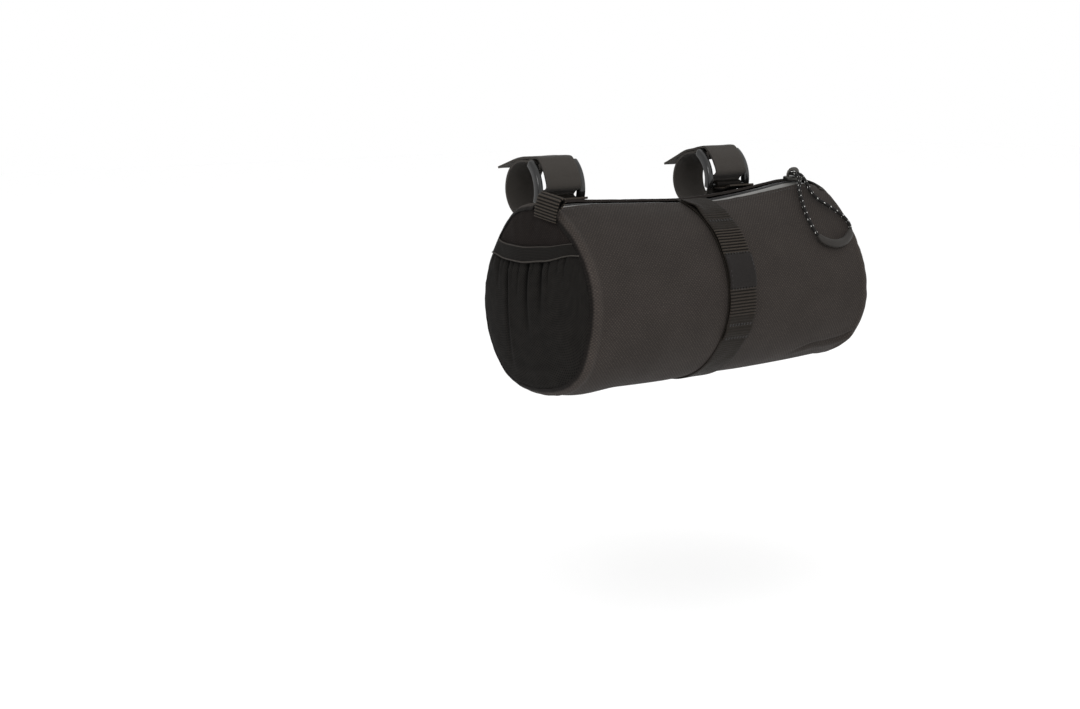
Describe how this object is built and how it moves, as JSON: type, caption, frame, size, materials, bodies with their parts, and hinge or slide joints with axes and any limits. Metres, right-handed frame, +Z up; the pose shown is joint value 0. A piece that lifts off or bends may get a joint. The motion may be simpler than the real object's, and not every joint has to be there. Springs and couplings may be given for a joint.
{
  "type": "handlebar roll bag",
  "caption": "Soft drum-shaped bag with a top zip, a cord puller, a mesh end pocket and two hook-and-loop straps that hang it from a bar.",
  "frame": {"origin": "on the axis of the bar that the straps go round, at the bag's mid-length", "axes": "+X along the bar and the bag, from the end with the mesh pocket to the other end; -Y to the bag's front; +Z up"},
  "size_m": [0.2293, 0.1223, 0.1389],
  "materials": {
    "woven_polyester": "matte woven",
    "end_polyester": "matte woven",
    "pocket_mesh": "fine knitted mesh",
    "elastic_binding": "matte elastic",
    "laminated_tape": "satin laminate",
    "dark_tape": "satin laminate",
    "nylon_coil": "satin",
    "slider_metal": "dark plated",
    "cord": "braided, with light flecks",
    "grip_plastic": "matte moulded",
    "webbing": "ribbed webbing",
    "label_cloth": "plain woven patch",
    "hook_and_loop": "brushed pile",
    "buckle_plastic": "gloss moulded"
  },
  "bodies": {
    "root": {"main_panel": "woven_polyester", "end_panel_left": "end_polyester", "end_panel_right": "end_polyester", "mesh_pocket": "pocket_mesh", "pocket_band": "elastic_binding", "zip_tape_front": "laminated_tape", "zip_tape_rear": "dark_tape", "zip_coil": "nylon_coil", "zip_garage": "elastic_binding", "zip_slider": "slider_metal", "puller_cord": "cord", "pull_grip": "grip_plastic", "webbing_base": "webbing", "webbing_loops": "webbing", "label_patch": "label_cloth", "grab_tab": "webbing", "bar_strap_left": "hook_and_loop", "bar_strap_right": "hook_and_loop", "buckle_left": "buckle_plastic", "buckle_right": "buckle_plastic", "strap_tab_left": "webbing", "strap_tab_right": "webbing"}
  },
  "joints": []
}
